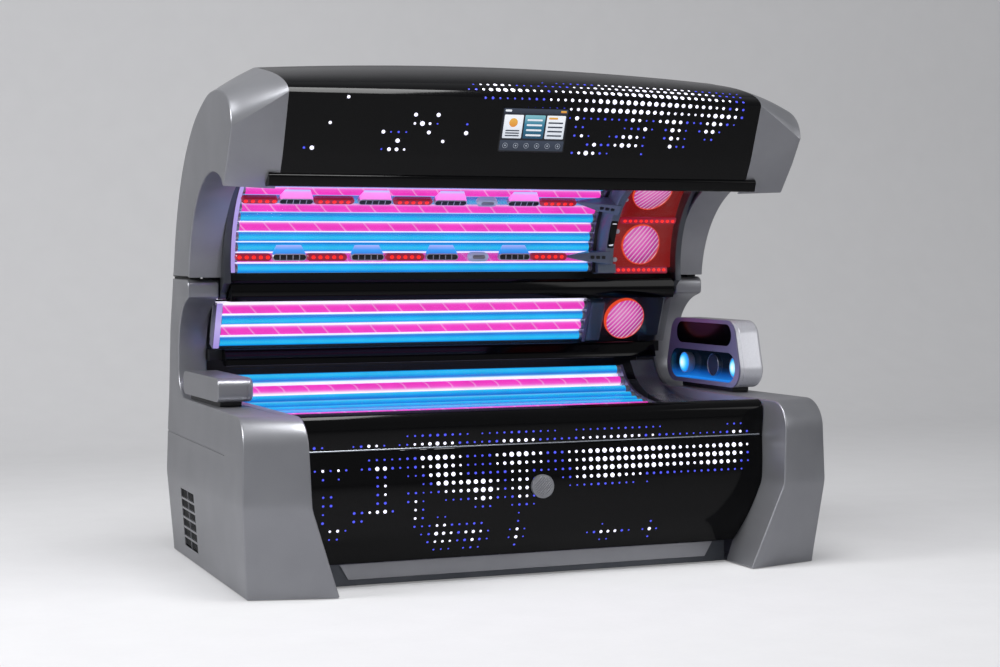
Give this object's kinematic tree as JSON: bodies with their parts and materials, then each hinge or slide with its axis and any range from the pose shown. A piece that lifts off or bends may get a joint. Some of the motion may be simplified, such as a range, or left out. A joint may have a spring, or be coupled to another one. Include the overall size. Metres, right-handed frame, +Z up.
{
  "type": "clamshell tanning bed",
  "caption": "Clamshell tanning bed: a lamp bench and a hinged lamp canopy between hollow silver end covers, with acrylic sheets, front panel and console.",
  "frame": {"origin": "on the floor under the middle of the bed's bounding box", "axes": "+X along the bed to the head end, -Y to the front, +Z up"},
  "size_m": [2.4, 1.46, 1.978],
  "materials": {
    "silver_plastic": "satin metallic silver paint",
    "gloss_black": "high gloss black",
    "satin_black": "satin black",
    "frame_steel": "grey powder coat",
    "rib_aluminium": "milled",
    "sheet_aluminium": "bright rolled reflector sheet",
    "ballast_steel": "zinc plated",
    "clear_acrylic": "clear, polished",
    "lamp_glass": "phosphor coated tube",
    "face_lamp_glass": "ribbed red glass",
    "lavender_plastic": "satin lavender grey",
    "pearl_plastic": "pearl silver",
    "foot_rubber": "black"
  },
  "bodies": {
    "base": {"ballast_tray": "ballast_steel", "base_cover_left": "silver_plastic", "base_cover_right": "silver_plastic", "bench_lamps": "lamp_glass", "bench_partition": "lavender_plastic", "bench_reflector": "sheet_aluminium", "bench_support_left": "frame_steel", "bench_support_right": "frame_steel", "console_display": "gloss_black", "console_face": "lavender_plastic", "console_shell": "pearl_plastic", "fan_housing": "satin_black", "floor_pan": "frame_steel", "foot_left": "foot_rubber", "foot_pod": "silver_plastic", "foot_right": "foot_rubber", "front_lip": "gloss_black", "kick_strip": "silver_plastic", "lift_cylinder_left": "satin_black", "lift_cylinder_right": "satin_black", "low_rail": "gloss_black", "mains_gland": "satin_black", "mid_rail": "gloss_black", "rear_panel": "satin_black", "side_acrylic": "clear_acrylic", "side_face_lamp": "face_lamp_glass", "side_lamps": "lamp_glass", "side_partition": "lavender_plastic", "side_reflector": "sheet_aluminium", "upright_left": "frame_steel", "upright_right": "frame_steel", "vent_grille_left": "satin_black", "vent_grille_right": "satin_black"},
    "canopy": {"canopy_cover_left": "silver_plastic", "canopy_cover_right": "silver_plastic", "canopy_shell": "gloss_black", "touch_screen": "gloss_black", "front_rail": "gloss_black", "canopy_acrylic": "clear_acrylic", "canopy_lamps": "lamp_glass", "canopy_reflector": "sheet_aluminium", "canopy_partition": "lavender_plastic", "face_acrylic": "clear_acrylic", "face_panel": "satin_black", "face_lamp_lower": "face_lamp_glass", "face_lamp_upper": "face_lamp_glass", "led_strip_lower": "satin_black", "led_strip_upper": "satin_black", "canopy_rib_left": "rib_aluminium", "canopy_rib_right": "rib_aluminium", "canopy_beam": "frame_steel"},
    "bench_acrylic": {"bench_acrylic": "clear_acrylic"},
    "front_panel": {"front_panel": "gloss_black"},
    "front_panel_knob": {"front_panel_knob": "silver_plastic"},
    "nozzle_front": {"nozzle_front": "pearl_plastic"},
    "nozzle_rear": {"nozzle_rear": "pearl_plastic"},
    "fan_rotor": {"fan_rotor": "satin_black"},
    "lift_rod_left": {"lift_rod_left": "frame_steel"},
    "lift_rod_right": {"lift_rod_right": "frame_steel"}
  },
  "joints": [
    {"name": "canopy_hinge", "type": "hinge", "parent": "base", "child": "canopy", "pos_m": [0, 0.345, 1.09], "axis": [1, 0, 0], "range_deg": [0, 45]},
    {"name": "bench_acrylic_hinge", "type": "hinge", "parent": "base", "child": "bench_acrylic", "pos_m": [0, 0.388, 0.762], "axis": [1, 0, 0], "range_deg": [-40, 0]},
    {"name": "front_panel_hinge", "type": "hinge", "parent": "base", "child": "front_panel", "pos_m": [0, -0.538, 0.508], "axis": [-1, 0, 0], "range_deg": [0, 60]},
    {"name": "panel_knob_turn", "type": "hinge", "parent": "front_panel", "child": "front_panel_knob", "pos_m": [0, -0.5536, 0.355], "axis": [0, -1, 0], "range_deg": [0, 90]},
    {"name": "nozzle_front_swivel", "type": "hinge", "parent": "base", "child": "nozzle_front", "pos_m": [1.08, -0.151, 0.759], "axis": [0, 0, 1], "range_deg": [-20, 20]},
    {"name": "nozzle_rear_swivel", "type": "hinge", "parent": "base", "child": "nozzle_rear", "pos_m": [1.08, 0.297, 0.759], "axis": [0, 0, 1], "range_deg": [-20, 20]},
    {"name": "fan_spin", "type": "hinge", "parent": "base", "child": "fan_rotor", "pos_m": [0, 0.68, 0.33], "axis": [0, 1, 0], "continuous": true},
    {"name": "lift_rod_left_slide", "type": "slide", "parent": "base", "child": "lift_rod_left", "axis": [0, 0, 1], "range_m": [0, 0.1265]},
    {"name": "lift_rod_right_slide", "type": "slide", "parent": "base", "child": "lift_rod_right", "axis": [0, 0, 1], "range_m": [0, 0.1265]}
  ],
  "couplings": [
    {"joint": "lift_rod_left_slide", "follows": "canopy_hinge", "m_per_rad": 0.16064},
    {"joint": "lift_rod_right_slide", "follows": "canopy_hinge", "m_per_rad": 0.16064}
  ]
}
